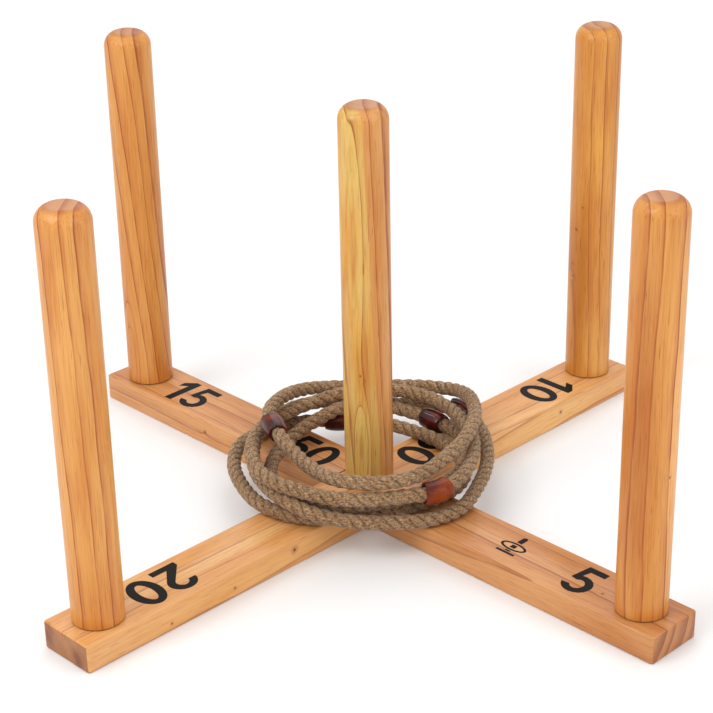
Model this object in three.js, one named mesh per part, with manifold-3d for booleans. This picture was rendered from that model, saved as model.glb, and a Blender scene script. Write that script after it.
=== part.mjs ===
// Ring toss set: a wooden cross with five pegs, and five rope rings laid round the centre peg.
// Millimetres, +Z up. The origin is on the ground under the centre peg. The upper crossbar runs
// along X and the lower crossbar along Y, and pegs are named after the points beside them.
import * as THREE from 'three';
import { mergeVertices } from 'three/addons/utils/BufferGeometryUtils.js';
import Module from 'manifold-3d';

const wasm = await Module();
wasm.setup();

// Crossbars
const BAR_LENGTH = 600;
const BAR_WIDTH = 50;
const BAR_THICKNESS = 22;
const BAR_EDGE = 1.5; // rounding of the long edges and the ends' edges
const BAR_CORNER = 2.6; // rounding of the ends' upright corners
const PEG_FROM_END = 30;
const FIT = 0.3; // gap between pieces that touch

// Pegs
const PEG_RADIUS = 19;
const PEG_HEIGHT = 310;
const PEG_FLAT_TOP = 10; // radius of the flat disc on a peg's top
const PEG_SHOULDER = 11; // height of the rounding below it
const PEG_FOOT_CHAMFER = 0.6;
const SHOULDER_STEPS = 5;

// Studs (hanger bolts) and threaded inserts
const STUD_RADIUS = 3.95;
const STUD_UP = 28; // wood thread, inside the peg
const STUD_DOWN = 18; // machine thread, below the peg's foot
const STUD_POINT = 5;
const STUD_CHAMFER = 1;
const INSERT_RADIUS = 6;
const INSERT_BORE = 4.3;
const INSERT_LENGTH = 10;
const INSERT_CHAMFER = 0.5;
const CLEARANCE_RADIUS = 4.5; // plain hole round a stud
const BLIND_FLOOR = 3; // wood left under a blind hole
const OVERSHOOT = 1; // how far a cutting shape sticks out of the wood

// Rope rings and their leather sleeves
const ROPE_RADIUS = 5.5;
const ROPE_END_GAP = 1; // between the rope's two ends, inside the sleeve
const ROPE_STEP = 14;
const SLEEVE_LENGTH = 21;
const SLEEVE_RADIUS = 9;
const SLEEVE_BORE = 6.7;

// Sides of round pieces, and steps along an arc of each kind
const PEG_SIDES = 28;
const HOLE_SIDES = 24;
const INSERT_SIDES = 24;
const STUD_SIDES = 18;
const ROPE_ARC_STEPS = 5;
const BAR_ARC_STEPS = 2;

const PEG_OFFSET = BAR_LENGTH / 2 - PEG_FROM_END;
const LAP = BAR_THICKNESS / 2;
const PEG_FOOT = BAR_THICKNESS + FIT;

const woodBar = new THREE.MeshStandardMaterial({ color: 0xcf9c68, roughness: 0.45, metalness: 0 });
const woodPeg = new THREE.MeshStandardMaterial({ color: 0xd79a52, roughness: 0.4, metalness: 0 });
const steel = new THREE.MeshStandardMaterial({ color: 0xb9bcc0, roughness: 0.35, metalness: 1 });
const brass = new THREE.MeshStandardMaterial({ color: 0xc2a15a, roughness: 0.35, metalness: 1 });
const rope = new THREE.MeshStandardMaterial({ color: 0x8a6a4c, roughness: 0.95, metalness: 0 });
const leather = new THREE.MeshStandardMaterial({ color: 0x6f3a22, roughness: 0.5, metalness: 0 });

// Centre line of each ring, from the lowest to the highest. The first point is the middle of the
// leather sleeve. Each ring lies on the crossbars or on the rings under it.
const RING_ROUTES = [
  [
    [45, 81, 28], [31, 96, 28], [8, 108, 28], [-18, 113, 28], [-42, 107, 28], [-66, 86, 28],
    [-83, 57, 28], [-92, 28, 28], [-89, 0, 28], [-76, -23, 28], [-53, -43, 28], [-26, -56, 28],
    [4, -66, 28], [33, -65, 28], [56, -51, 28], [70, -27, 28], [76, 2, 28], [72, 34, 28],
    [62, 62, 28],
  ],
  [
    [92, 17, 33], [89, 39, 34], [79, 55, 37], [60, 67, 42], [38, 74, 44], [16, 78, 40],
    [-7, 78, 36], [-31, 72, 32], [-54, 56, 32], [-71, 31, 35], [-76, 2, 38], [-72, -24, 40],
    [-58, -44, 40], [-38, -58, 41], [-12, -67, 41], [16, -68, 40], [42, -62, 40], [63, -49, 40],
    [82, -26, 36], [91, -4, 33],
  ],
  [
    [121, 12, 33], [116, 38, 30], [101, 62, 29], [80, 83, 31], [56, 98, 36], [30, 106, 40],
    [9, 107, 41], [-12, 103, 41], [-35, 92, 40], [-57, 73, 39], [-75, 48, 39], [-86, 22, 40],
    [-90, -3, 40], [-85, -26, 37], [-69, -49, 33], [-46, -69, 30], [-20, -85, 28], [8, -90, 28],
    [40, -78, 28], [71, -60, 28], [95, -39, 28], [115, -13, 29],
  ],
  [
    [-13, -85, 49], [-33, -75, 50], [-54, -60, 50], [-72, -40, 50], [-84, -15, 51], [-90, 11, 52],
    [-87, 34, 53], [-75, 54, 53], [-58, 71, 52], [-33, 86, 51], [-5, 91, 50], [23, 89, 50],
    [49, 78, 53], [73, 65, 52], [92, 47, 49], [99, 24, 48], [94, -2, 48], [82, -27, 50],
    [61, -55, 52], [37, -74, 51], [13, -84, 50],
  ],
  [
    [-43, 62, 63], [-51, 43, 61], [-57, 22, 58], [-62, 0, 57], [-65, -22, 59],
    [-62, -41, 61], [-50, -59, 62], [-31, -71, 62], [-8, -73, 62], [17, -70, 64], [43, -62, 64],
    [70, -47, 64], [92, -28, 61], [110, -5, 57], [119, 18, 51], [114, 44, 47], [98, 66, 46],
    [76, 84, 47], [51, 98, 51], [25, 102, 57], [-5, 95, 63], [-31, 81, 65],
  ],
];

// A closed geometry as a solid that can be cut.
function solidOf(geometry) {
  geometry.deleteAttribute('normal');
  geometry.deleteAttribute('uv');
  const merged = mergeVertices(geometry);
  return new wasm.Manifold(new wasm.Mesh({
    numProp: 3,
    vertProperties: merged.attributes.position.array,
    triVerts: Uint32Array.from(merged.index.array),
  }));
}

// A body with each of the tools cut out of it.
function cutFrom(body, tools) {
  const rest = tools.reduce((left, tool) => left.subtract(solidOf(tool)), solidOf(body));
  const mesh = rest.getMesh();
  const geometry = new THREE.BufferGeometry();
  geometry.setAttribute('position', new THREE.BufferAttribute(mesh.vertProperties, 3));
  geometry.setIndex(new THREE.BufferAttribute(mesh.triVerts, 1));
  geometry.computeVertexNormals();
  return geometry;
}

// An upright cylinder at x along the bar, between two heights.
function drill(radius, x, low, high) {
  const geometry = new THREE.CylinderGeometry(radius, radius, high - low, HOLE_SIDES);
  geometry.rotateX(Math.PI / 2);
  geometry.translate(x, 0, (low + high) / 2);
  return geometry;
}

// A profile of [radius, height] points turned about the Z axis.
function turned(profile, sides) {
  const points = profile.map(([radius, height]) => new THREE.Vector2(radius, height));
  return new THREE.LatheGeometry(points, sides).rotateX(Math.PI / 2);
}

// The bar's plan: a long rectangle with rounded corners.
function barPlan() {
  const x = BAR_LENGTH / 2 - BAR_CORNER;
  const y = BAR_WIDTH / 2 - BAR_CORNER;
  const plan = new THREE.Shape();
  plan.absarc(x, y, BAR_CORNER, 0, Math.PI / 2);
  plan.absarc(-x, y, BAR_CORNER, Math.PI / 2, Math.PI);
  plan.absarc(-x, -y, BAR_CORNER, Math.PI, 1.5 * Math.PI);
  plan.absarc(x, -y, BAR_CORNER, 1.5 * Math.PI, 2 * Math.PI);
  plan.closePath();
  return plan;
}

// A crossbar along X before its joint is cut, with a blind hole and insert pocket at each end.
function crossbar(centreCuts) {
  const body = new THREE.ExtrudeGeometry(barPlan(), {
    depth: BAR_THICKNESS - 2 * BAR_EDGE,
    curveSegments: BAR_ARC_STEPS,
    bevelEnabled: true,
    bevelThickness: BAR_EDGE,
    bevelSize: BAR_EDGE,
    bevelOffset: -BAR_EDGE,
    bevelSegments: BAR_ARC_STEPS,
  });
  body.translate(0, 0, BAR_EDGE);
  const endCuts = [-PEG_OFFSET, PEG_OFFSET].flatMap((x) => [
    drill(INSERT_RADIUS + FIT, x, BAR_THICKNESS - INSERT_LENGTH - FIT, BAR_THICKNESS + OVERSHOOT),
    drill(CLEARANCE_RADIUS, x, BLIND_FLOOR, BAR_THICKNESS),
  ]);
  return cutFrom(body, [...endCuts, ...centreCuts]);
}

// Half of the cross joint: a notch across the bar, open on the side that z points to.
function notch(z) {
  const box = new THREE.BoxGeometry(BAR_WIDTH + 2 * FIT, 2 * BAR_WIDTH, BAR_THICKNESS);
  return box.translate(0, 0, z);
}

function lowerCrossbar() {
  return crossbar([
    notch(LAP - FIT / 2 + BAR_THICKNESS / 2),
    drill(INSERT_RADIUS + FIT, 0, -OVERSHOOT, LAP + OVERSHOOT),
  ]);
}

function upperCrossbar() {
  return crossbar([
    notch(LAP + FIT / 2 - BAR_THICKNESS / 2),
    drill(CLEARANCE_RADIUS, 0, LAP - OVERSHOOT, BAR_THICKNESS + OVERSHOOT),
  ]);
}

// A round peg with a rounded top and a stud hole in its foot.
function peg() {
  const shoulder = PEG_HEIGHT - PEG_SHOULDER;
  const bore = STUD_RADIUS + FIT;
  const rounding = Array.from({ length: SHOULDER_STEPS }, (_, step) => {
    const angle = ((step + 1) / SHOULDER_STEPS) * (Math.PI / 2);
    return [
      PEG_FLAT_TOP + (PEG_RADIUS - PEG_FLAT_TOP) * Math.cos(angle),
      shoulder + PEG_SHOULDER * Math.sin(angle),
    ];
  });
  return turned([
    [0, STUD_UP + FIT],
    [bore, STUD_UP + FIT],
    [bore, 0],
    [PEG_RADIUS - PEG_FOOT_CHAMFER, 0],
    [PEG_RADIUS, PEG_FOOT_CHAMFER],
    [PEG_RADIUS, shoulder],
    ...rounding,
    [0, PEG_HEIGHT],
  ], PEG_SIDES);
}

// A double-ended stud. Its height is measured from the peg's foot.
function stud() {
  return turned([
    [0, -STUD_DOWN],
    [STUD_RADIUS - STUD_CHAMFER, -STUD_DOWN],
    [STUD_RADIUS, STUD_CHAMFER - STUD_DOWN],
    [STUD_RADIUS, STUD_UP - STUD_POINT],
    [STUD_CHAMFER, STUD_UP],
    [0, STUD_UP],
  ], STUD_SIDES);
}

// A threaded insert, standing on z = 0.
function insert() {
  const edge = INSERT_RADIUS - INSERT_CHAMFER;
  return turned([
    [INSERT_BORE, 0],
    [edge, 0],
    [INSERT_RADIUS, INSERT_CHAMFER],
    [INSERT_RADIUS, INSERT_LENGTH - INSERT_CHAMFER],
    [edge, INSERT_LENGTH],
    [INSERT_BORE, INSERT_LENGTH],
    [INSERT_BORE, 0],
  ], INSERT_SIDES);
}

// Part of a closed curve, between two distances along it.
class Stretch extends THREE.Curve {
  constructor(loop, from, to) {
    super();
    this.loop = loop;
    this.from = from;
    this.to = to;
  }

  getPoint(t, target = new THREE.Vector3()) {
    const whole = this.loop.getLength();
    const along = (this.from + t * (this.to - this.from)) / whole;
    return this.loop.getPointAt((along + 1) % 1, target);
  }
}

// A section swept along a stretch of a ring's centre line.
function swept(section, loop, from, to, step) {
  return new THREE.ExtrudeGeometry(section, {
    steps: Math.round((to - from) / step),
    curveSegments: ROPE_ARC_STEPS,
    bevelEnabled: false,
    extrudePath: new Stretch(loop, from, to),
  });
}

function ringLoop(route) {
  const points = route.map(([x, y, z]) => new THREE.Vector3(x, y, z));
  return new THREE.CatmullRomCurve3(points, true, 'centripetal');
}

function circle(Kind, radius) {
  return new Kind().absarc(0, 0, radius, 0, 2 * Math.PI);
}

// One length of rope bent round to a ring, its two ends meeting inside the sleeve.
function ropeRing(loop) {
  const gap = ROPE_END_GAP / 2;
  return swept(circle(THREE.Shape, ROPE_RADIUS), loop, gap, loop.getLength() - gap, ROPE_STEP);
}

// A short leather tube round the rope's ends.
function leatherSleeve(loop) {
  const section = circle(THREE.Shape, SLEEVE_RADIUS);
  section.holes.push(circle(THREE.Path, SLEEVE_BORE));
  return swept(section, loop, -SLEEVE_LENGTH / 2, SLEEVE_LENGTH / 2, SLEEVE_LENGTH / 4);
}

function named(name, geometry, material) {
  const mesh = new THREE.Mesh(geometry, material);
  mesh.name = name;
  return mesh;
}

// A peg with its stud and insert, standing at one place on the cross.
function pegStation(points, x, y, insertFloor) {
  const station = new THREE.Group();
  station.position.set(x, y, 0);
  const wood = named(`peg_${points}`, peg(), woodPeg);
  const bolt = named(`stud_${points}`, stud(), steel);
  const socket = named(`insert_${points}`, insert(), brass);
  wood.position.z = PEG_FOOT;
  bolt.position.z = PEG_FOOT;
  socket.position.z = insertFloor;
  station.add(wood, bolt, socket);
  return station;
}

const ringTossSet = new THREE.Group();

const lower = named('lower_crossbar', lowerCrossbar(), woodBar);
lower.rotation.z = Math.PI / 2;
ringTossSet.add(lower, named('upper_crossbar', upperCrossbar(), woodBar));

const flushInsert = BAR_THICKNESS - INSERT_LENGTH;
const centreInsert = LAP - FIT - INSERT_LENGTH;
ringTossSet.add(pegStation('20', -PEG_OFFSET, 0, flushInsert));
ringTossSet.add(pegStation('15', 0, PEG_OFFSET, flushInsert));
ringTossSet.add(pegStation('10', PEG_OFFSET, 0, flushInsert));
ringTossSet.add(pegStation('5', 0, -PEG_OFFSET, flushInsert));
ringTossSet.add(pegStation('50', 0, 0, centreInsert));

RING_ROUTES.forEach((route, index) => {
  const loop = ringLoop(route);
  ringTossSet.add(named(`rope_ring_${index + 1}`, ropeRing(loop), rope));
  ringTossSet.add(named(`leather_sleeve_${index + 1}`, leatherSleeve(loop), leather));
});

export default ringTossSet;
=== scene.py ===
import math

import bmesh
import bpy
import numpy as np
from mathutils import Matrix, Vector


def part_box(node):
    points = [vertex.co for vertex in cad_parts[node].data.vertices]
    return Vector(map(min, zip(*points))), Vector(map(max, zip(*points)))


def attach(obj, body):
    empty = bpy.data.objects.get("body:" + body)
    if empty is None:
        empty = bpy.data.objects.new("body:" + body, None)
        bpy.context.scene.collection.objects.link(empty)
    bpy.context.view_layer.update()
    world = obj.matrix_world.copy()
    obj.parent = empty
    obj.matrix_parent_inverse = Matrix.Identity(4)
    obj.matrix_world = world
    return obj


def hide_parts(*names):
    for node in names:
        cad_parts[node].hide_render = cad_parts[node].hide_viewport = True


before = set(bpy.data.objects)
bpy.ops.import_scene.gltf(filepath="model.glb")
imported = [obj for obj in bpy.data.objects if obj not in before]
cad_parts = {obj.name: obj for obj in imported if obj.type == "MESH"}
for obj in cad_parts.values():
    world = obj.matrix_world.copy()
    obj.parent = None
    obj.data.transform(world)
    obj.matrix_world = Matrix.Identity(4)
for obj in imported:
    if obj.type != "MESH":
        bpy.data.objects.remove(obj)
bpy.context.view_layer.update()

MM = 0.001
FULL = 2 * math.pi
SHARP = 1.0  # faces that meet at more than this, in radians, make a rim that is bevelled

# Sizes of the bars. Their outside is read back from the CAD model.
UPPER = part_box("upper_crossbar")
BAR_TOP = UPPER[1][2]
BAR_HALF_WIDTH = (UPPER[1][1] - UPPER[0][1]) / 2
BAR_HALF_LENGTH = (UPPER[1][0] - UPPER[0][0]) / 2
BAR_EDGE = 1.5 * MM  # rounding of the long edges
EDGE_STEPS = 5
BAR_CORNER = 2.6 * MM  # rounding of the upright corners
CORNER_STEPS = 6
PEG_FROM_END = 30 * MM
LAP = BAR_TOP / 2  # height of the joint between the two bars
FIT = 0.3 * MM  # room left in joints
INSERT_POCKET = 6.3 * MM  # radius of the hole that an insert sits in
CLEARANCE = 4.5 * MM  # radius of the hole that a stud passes through
BLIND_FLOOR = 3 * MM  # wood left under a hole
INSERT_LENGTH = 10 * MM

PEGS = {  # each peg's number, and the bar that holds its insert
    "20": "upper_crossbar", "15": "lower_crossbar", "10": "upper_crossbar",
    "5": "lower_crossbar", "50": "lower_crossbar",
}
PEG_FLAT_TOP = 10.2 * MM  # radius of the flat disc on a peg's top
PEG_ROUNDING = 12 * MM  # radius of the shoulder below it
PEG_ROUNDING_STEPS = 16
PEG_FOOT_EDGE = 1 * MM
PEG_FOOT_STEPS = 4
PEG_BORE = 4.25 * MM  # radius of the hole for the stud
PEG_BORE_EDGE = 0.4 * MM
PEG_BORE_DEPTH = 28.3 * MM
PEG_ROWS = 30  # rows of faces up a peg's straight side
PEG_SIDES = 96

STUD_RADIUS = 3.93 * MM
MACHINE_LEAD = 1.25 * MM  # an M8 thread
STUD_THREAD_DEPTH = 0.62 * MM
WOOD_LEAD = 2.6 * MM  # the coarse thread up in the peg
WOOD_THREAD_DEPTH = 0.75 * MM
STUD_POINT = 6 * MM  # length of its taper
STUD_TIP = 0.12  # share of the radius left at its end
STUD_SIDES = 32
THREAD_STEPS = 10  # rows of points in one turn of a thread
INSERT_BORE = 4.75 * MM
INSERT_THREAD_DEPTH = 0.5 * MM
# Steps of an insert's outside, as (radius, height) in millimetres: its rim, and one of its ribs.
INSERT_RIM = ((5.0, 0), (5.6, 0), (5.98, 0.4))
INSERT_RIB = ((5.98, 0), (5.5, 0.5), (5.5, 0.9), (5.98, 1.4))
INSERT_RIBS = 5
INSERT_PLAIN = 0.8 * MM  # height of its outside below the ribs, and above them
INSERT_SIDES = 48

ROPE_END_GAP = 1 * MM
ROUTE_STEPS = 40  # points of the curve from one point of a ring's route to the next
ROPE_PITCH = 27 * MM  # one turn of a strand round the rope
LOBE_RADIUS = 4.1 * MM  # one strand's own outline
LOBE_OFFSET = 1.62 * MM  # how far a strand's middle lies from the rope's
YARNS = 16  # ridges seen round the rope
YARN_DEPTH = 0.22 * MM
YARN_SLIP = 0.35  # how far the yarns lag behind the strands' turn
YARN_WANDER = 0.05
YARN_SHARPNESS = 0.7
SWELL = 0.016  # how much a strand thickens and thins
SWELL_LENGTH = 12 * MM
SWELL_SPREAD = 0.75  # how far round the rope one strand's swelling reaches, in radians
ROPE_ROUGH = 0.06 * MM
ROPE_MESH_STEP = 1.1 * MM
ROPE_SIDES = 72
ROPE_SEED = 10
FIBRES_PER_METRE = 7000
FIBRE_POINTS = 5
FIBRE_RUN = (2.0, 8.0)  # how far one lies along the rope, in millimetres
FIBRE_LEAN = 0.5  # how far it turns round the rope meanwhile, in radians
FIBRE_LIFT = 0.6 * MM  # how far its end lifts off
FIBRE_LIFT_MOST = 1.6 * MM
FIBRE_SUNK = 0.15 * MM
FIBRE_WIDTH = (0.03, 0.06)
FIBRE_TAPER = 0.6
FIBRE_SEED = 70

SLEEVE_LENGTH = 21 * MM
SLEEVE_INSIDE = 6.6 * MM  # radius of the leather's inner face
SLEEVE_OUTSIDE = 8.98 * MM  # no part of it stands out further than this
SLEEVE_STEP = 1.55 * MM  # how far the lapped edge climbs
SLEEVE_CLIMB = (-0.55, 0.5)  # where it starts to climb, past a full turn, and over what angle
SLEEVE_LAP = 0.75  # how far it laps over its start, in radians
# The leather's thickness in millimetres, pared thin at both edges, by the angle from its start.
SLEEVE_THICKNESS = ((0, 1.4), (0.25, 1.9), (FULL - 0.7, 1.9), (FULL + 0.1, 1.0), (FULL + SLEEVE_LAP, 0.8))
SLEEVE_FLARE = 0.1 * MM
SLEEVE_DENTS = (0.08 * MM, 0.05 * MM, 0.015 * MM)
SLEEVE_SKEW = 0.225 * MM  # how far its mouths are cut out of true
SLEEVE_MOUTH = 0.3  # share of its thickness lost at its mouths
SLEEVE_EDGE = 0.35 * MM
SLEEVE_EDGE_STEPS = 3
SLEEVE_SIDES = 84
SLEEVE_STEPS = 26
SLEEVE_SEED = 40

# Camera: where it stands and how it looks, with the lens that frames the whole set.
CAMERA_PLACE = (-0.96061, -0.97344, 0.79088)
CAMERA_YAW = 44.657
CAMERA_DOWN = 26.058
CAMERA_ROLL = -0.71
CAMERA_LENS = 100.127
CAMERA_SHIFT = (-0.04698, 0.01192)

# Centre line of each ring in millimetres, lowest ring first. The first point is the middle of
# its leather sleeve.
RING_ROUTES = [
    [
        (45, 81, 28), (31, 96, 28), (8, 108, 28), (-18, 113, 28), (-42, 107, 28), (-66, 86, 28),
        (-83, 57, 28), (-92, 28, 28), (-89, 0, 28), (-76, -23, 28), (-53, -43, 28), (-26, -56, 28),
        (4, -66, 28), (33, -65, 28), (56, -51, 28), (70, -27, 28), (76, 2, 28), (72, 34, 28),
        (62, 62, 28),
    ],
    [
        (92, 17, 33), (89, 39, 34), (79, 55, 37), (60, 67, 42), (38, 74, 44), (16, 78, 40),
        (-7, 78, 36), (-31, 72, 32), (-54, 56, 32), (-71, 31, 35), (-76, 2, 38), (-72, -24, 40),
        (-58, -44, 40), (-38, -58, 41), (-12, -67, 41), (16, -68, 40), (42, -62, 40), (63, -49, 40),
        (82, -26, 36), (91, -4, 33),
    ],
    [
        (121, 12, 33), (116, 38, 30), (101, 62, 29), (80, 83, 31), (56, 98, 36), (30, 106, 40),
        (9, 107, 41), (-12, 103, 41), (-35, 92, 40), (-57, 73, 39), (-75, 48, 39), (-86, 22, 40),
        (-90, -3, 40), (-85, -26, 37), (-69, -49, 33), (-46, -69, 30), (-20, -85, 28), (8, -90, 28),
        (40, -78, 28), (71, -60, 28), (95, -39, 28), (115, -13, 29),
    ],
    [
        (-13, -85, 49), (-33, -75, 50), (-54, -60, 50), (-72, -40, 50), (-84, -15, 51), (-90, 11, 52),
        (-87, 34, 53), (-75, 54, 53), (-58, 71, 52), (-33, 86, 51), (-5, 91, 50), (23, 89, 50),
        (49, 78, 53), (73, 65, 52), (92, 47, 49), (99, 24, 48), (94, -2, 48), (82, -27, 50),
        (61, -55, 52), (37, -74, 51), (13, -84, 50),
    ],
    [
        (-43, 62, 63), (-51, 43, 61), (-57, 22, 58), (-62, 0, 57), (-65, -22, 59),
        (-62, -41, 61), (-50, -59, 62), (-31, -71, 62), (-8, -73, 62), (17, -70, 64), (43, -62, 64),
        (70, -47, 64), (92, -28, 61), (110, -5, 57), (119, 18, 51), (114, 44, 47), (98, 66, 46),
        (76, 84, 47), (51, 98, 51), (25, 102, 57), (-5, 95, 63), (-31, 81, 65),
    ],
]


# ---- small helpers

def srgb(red, green, blue):
    """A screen colour, 0 to 255, as the linear colour that shaders take."""
    linear = []
    for value in (red, green, blue):
        part = value / 255
        linear.append(part / 12.92 if part <= 0.04045 else ((part + 0.055) / 1.055) ** 2.4)
    return (*linear, 1.0)


def new_object(name, mesh, material=None):
    piece = bpy.data.objects.new(name, mesh)
    bpy.context.scene.collection.objects.link(piece)
    if material:
        mesh.materials.append(material)
    return piece


def mesh_from(name, vertices, faces):
    mesh = bpy.data.meshes.new(name)
    mesh.from_pydata([tuple(point) for point in vertices], [], [tuple(face) for face in faces])
    mesh.validate()
    mesh.update()
    return mesh


def smooth(mesh, angle):
    """Smooth shading that leaves edges sharp where faces meet at more than an angle in degrees."""
    for polygon in mesh.polygons:
        polygon.use_smooth = True
    mesh.set_sharp_from_angle(angle=math.radians(angle))


def on_circle(radius, side, sides, centre, height):
    angle = FULL * side / sides
    return centre[0] + radius * math.cos(angle), centre[1] + radius * math.sin(angle), height


def tube_faces(rows, sides, first=0):
    """The quads between rows of points that run round a tube, facing outwards."""
    faces = []
    for row in range(rows):
        for side in range(sides):
            a = first + row * sides + side
            b = first + row * sides + (side + 1) % sides
            faces.append((a, b, b + sides, a + sides))
    return faces


def place_piece(name, mesh, material, body, node=None):
    """A finished mesh that rides on a body and, where a node is given, takes its place."""
    piece = new_object(name, mesh, material)
    if node:
        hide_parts(node)
    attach(piece, body)
    return piece


# ---- camera

def make_camera():
    yaw = math.radians(CAMERA_YAW)
    down = math.radians(CAMERA_DOWN)
    roll = math.radians(CAMERA_ROLL)
    ahead = Vector((math.cos(down) * math.cos(yaw), math.cos(down) * math.sin(yaw), -math.sin(down)))
    level = Vector((math.sin(yaw), -math.cos(yaw), 0))
    over = level.cross(ahead)
    right = math.cos(roll) * level + math.sin(roll) * over
    up = math.cos(roll) * over - math.sin(roll) * level
    data = bpy.data.cameras.new("camera")
    data.sensor_width = 36
    data.lens = CAMERA_LENS
    data.shift_x, data.shift_y = CAMERA_SHIFT
    data.clip_start = 0.01
    camera = bpy.data.objects.new("camera", data)
    facing = Matrix((right, up, -ahead)).transposed().to_4x4()
    camera.matrix_world = Matrix.Translation(CAMERA_PLACE) @ facing
    bpy.context.scene.collection.objects.link(camera)
    bpy.context.scene.camera = camera


# ---- shader helpers

class Nodes:
    """Adds nodes to one material, each by a short call."""

    def __init__(self, name):
        self.material = bpy.data.materials.new(name)
        self.material.use_nodes = True
        self.tree = self.material.node_tree
        self.shader = self.tree.nodes["Principled BSDF"]

    def put(self, socket, value):
        if isinstance(value, bpy.types.NodeSocket):
            self.tree.links.new(value, socket)
        else:
            socket.default_value = value

    def add(self, kind, inputs, **settings):
        """A new node with its settings made and its inputs, by name or number, filled in."""
        node = self.tree.nodes.new("ShaderNode" + kind)
        for name, value in settings.items():
            setattr(node, name, value)
        for socket, value in inputs.items():
            self.put(node.inputs[socket], value)
        return node

    def math(self, operation, a, b=0.0, c=0.0):
        return self.add("Math", {0: a, 1: b, 2: c}, operation=operation).outputs[0]

    def times(self, a, b):
        return self.math("MULTIPLY", a, b)

    def weigh(self, value, weight, rest):
        """value * weight + rest"""
        return self.math("MULTIPLY_ADD", value, weight, rest)

    def split(self, vector):
        return self.add("SeparateXYZ", {0: vector}).outputs[:3]

    def place(self, vector, shift=(0, 0, 0), turn=(0, 0, 0), scale=(1, 1, 1)):
        inputs = {"Vector": vector, "Location": shift, "Rotation": turn, "Scale": scale}
        return self.add("Mapping", inputs).outputs[0]

    def noise(self, vector, scale, detail=3.0, roughness=0.5, distortion=0.0):
        inputs = {"Vector": vector, "Scale": scale, "Detail": detail}
        inputs.update({"Roughness": roughness, "Distortion": distortion})
        return self.add("TexNoise", inputs).outputs["Fac"]

    def noise_1d(self, value, scale):
        inputs = {"W": value, "Scale": scale, "Detail": 0}
        return self.add("TexNoise", inputs, noise_dimensions="1D").outputs["Fac"]

    def random(self, value):
        return self.add("TexWhiteNoise", {"W": value}, noise_dimensions="1D").outputs["Value"]

    def stretched(self, vector, scale, *noise):
        """Noise with a scale of its own along each axis."""
        return self.noise(self.place(vector, scale=scale), *noise)

    def distance(self, vector, spot):
        return self.add("VectorMath", {0: vector, 1: spot}, operation="DISTANCE").outputs["Value"]

    def near(self, vector, spot, size):
        """1 at a spot, falling to 0 at a distance of size along each axis."""
        scale = [1 / length for length in size]
        centre = [a * b for a, b in zip(spot, scale)]
        return self.span(self.distance(self.place(vector, scale=scale), centre), 1.0, 0.1)

    def facing(self, axis):
        """1 where the surface faces along an axis of the object, 0 where it is square to it."""
        node = self.add("VectorMath", {0: self.coords("Normal"), 1: axis}, operation="DOT_PRODUCT")
        return self.math("ABSOLUTE", node.outputs["Value"])

    def ramp(self, value, stops):
        node = self.add("ValToRGB", {"Fac": value})
        while len(node.color_ramp.elements) < len(stops):
            node.color_ramp.elements.new(1.0)
        for element, (place, colour) in zip(node.color_ramp.elements, stops):
            element.position = place
            element.color = colour
        return node.outputs["Color"]

    def span(self, value, low, high, to_low=0.0, to_high=1.0):
        inputs = {"Value": value, "From Min": low, "From Max": high, "To Min": to_low, "To Max": to_high}
        return self.add("MapRange", inputs, interpolation_type="SMOOTHSTEP").outputs["Result"]

    def mix(self, amount, first, second, blend="MIX"):
        node = self.add("Mix", {}, data_type="RGBA", blend_type=blend)
        self.put(node.inputs["Factor"], amount)
        colour_a, colour_b = [socket for socket in node.inputs if socket.type == "RGBA"]
        self.put(colour_a, first)
        self.put(colour_b, second)
        return next(socket for socket in node.outputs if socket.type == "RGBA")

    def over(self, colour, tone, value, low, high, amount, least=0.0):
        """A tone laid over a colour, from least at value = low to amount at value = high."""
        return self.mix(self.span(value, low, high, least, amount), colour, tone)

    def bump(self, height, distance, strength):
        inputs = {"Strength": strength, "Distance": distance, "Height": height}
        return self.add("Bump", inputs).outputs[0]

    def coords(self, kind="Object"):
        return self.add("TexCoord", {}).outputs[kind]

    def attribute(self, name):
        return self.add("Attribute", {}, attribute_name=name).outputs["Fac"]

    def set(self, **values):
        for name, value in values.items():
            self.put(self.shader.inputs[name.replace("_", " ")], value)


# ---- wood

def wood_tones(**colours):
    return {name: srgb(*colour) for name, colour in colours.items()}


# pale and body are the wood between the growth rings' edges, late and line the edges themselves,
# tint its warm patches, sap its pale sapwood and end its sawn ends.
HONEY = wood_tones(
    pale=(222, 160, 92), body=(208, 138, 68), late=(184, 98, 38), line=(142, 62, 20),
    tint=(200, 120, 50), sap=(222, 182, 98), end=(176, 120, 84),
)
ROSY = wood_tones(
    pale=(226, 172, 112), body=(212, 148, 84), late=(190, 118, 58), line=(142, 74, 34),
    tint=(216, 148, 66), sap=(220, 178, 108), end=(104, 56, 30),
)
DEEP_ROSY = wood_tones(
    pale=(212, 154, 98), body=(192, 128, 72), late=(168, 98, 48), line=(124, 62, 30),
    tint=(196, 122, 50), sap=(206, 160, 98), end=(186, 122, 72),
)
SAP_STREAK = srgb(214, 150, 52)
# the dark of a knot's heart, also used for the painted shade round a peg's foot
KNOT_AND_SHADE_DARK = srgb(84, 42, 22)
KNOT_HALO = srgb(168, 98, 48)
PORE = srgb(196, 148, 104)


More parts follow.
